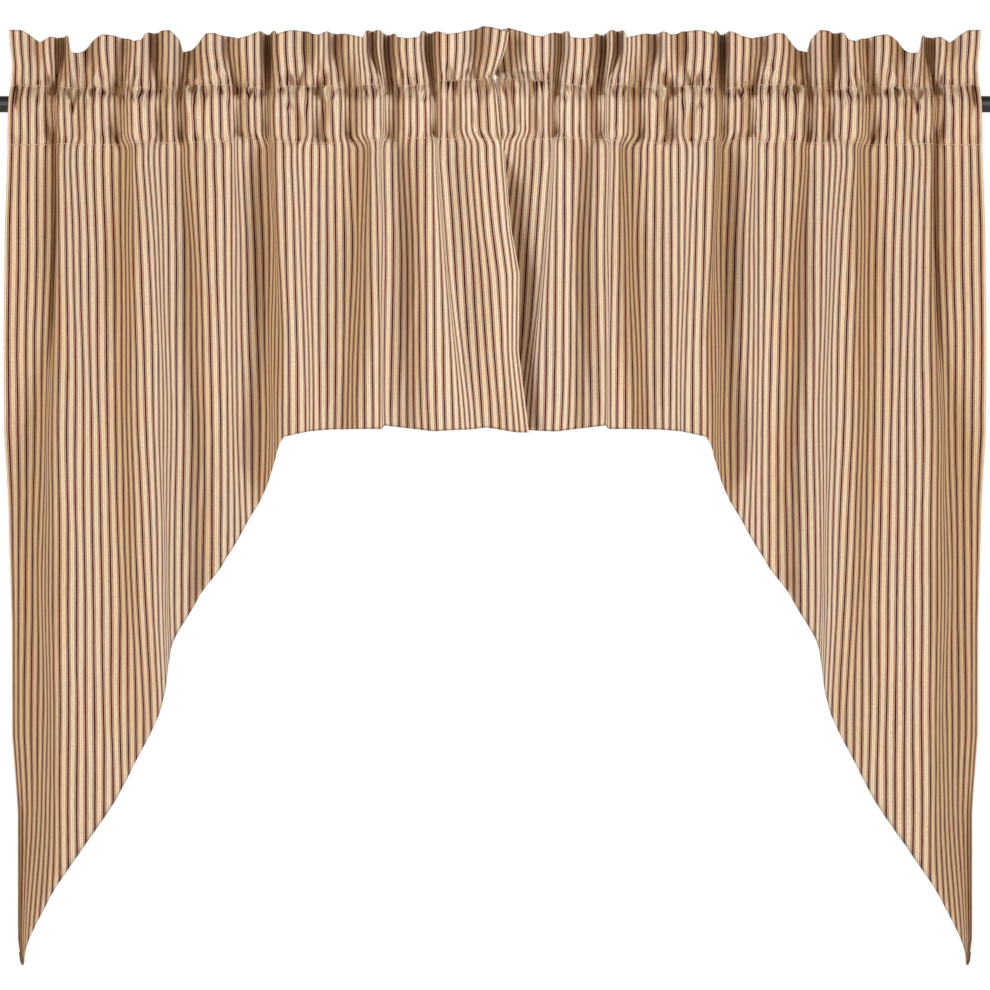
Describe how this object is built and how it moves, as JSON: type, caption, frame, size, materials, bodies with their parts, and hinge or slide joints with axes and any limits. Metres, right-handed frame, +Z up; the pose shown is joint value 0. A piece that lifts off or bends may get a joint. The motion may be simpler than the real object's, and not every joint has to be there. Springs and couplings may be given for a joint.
{
  "type": "swag and tail drape on rod",
  "caption": "Gathered rod-pocket swag and tail panels of striped ticking on a plain round rod, short at the middle with a long slanted tail at each side.",
  "frame": {"origin": "on the rod's axis, at the middle of its length", "axes": "+X along the rod to the viewer's right, +Y away from the viewer towards the window, +Z up; the face side of the cloth looks along -Y"},
  "size_m": [0.984, 0.0701, 0.9169],
  "materials": {
    "rod_black": "black, satin",
    "ticking": "matt woven cotton with fine upright stripes"
  },
  "bodies": {
    "root": {"rod": "rod_black", "left_panel": "ticking", "right_panel": "ticking"}
  },
  "joints": []
}
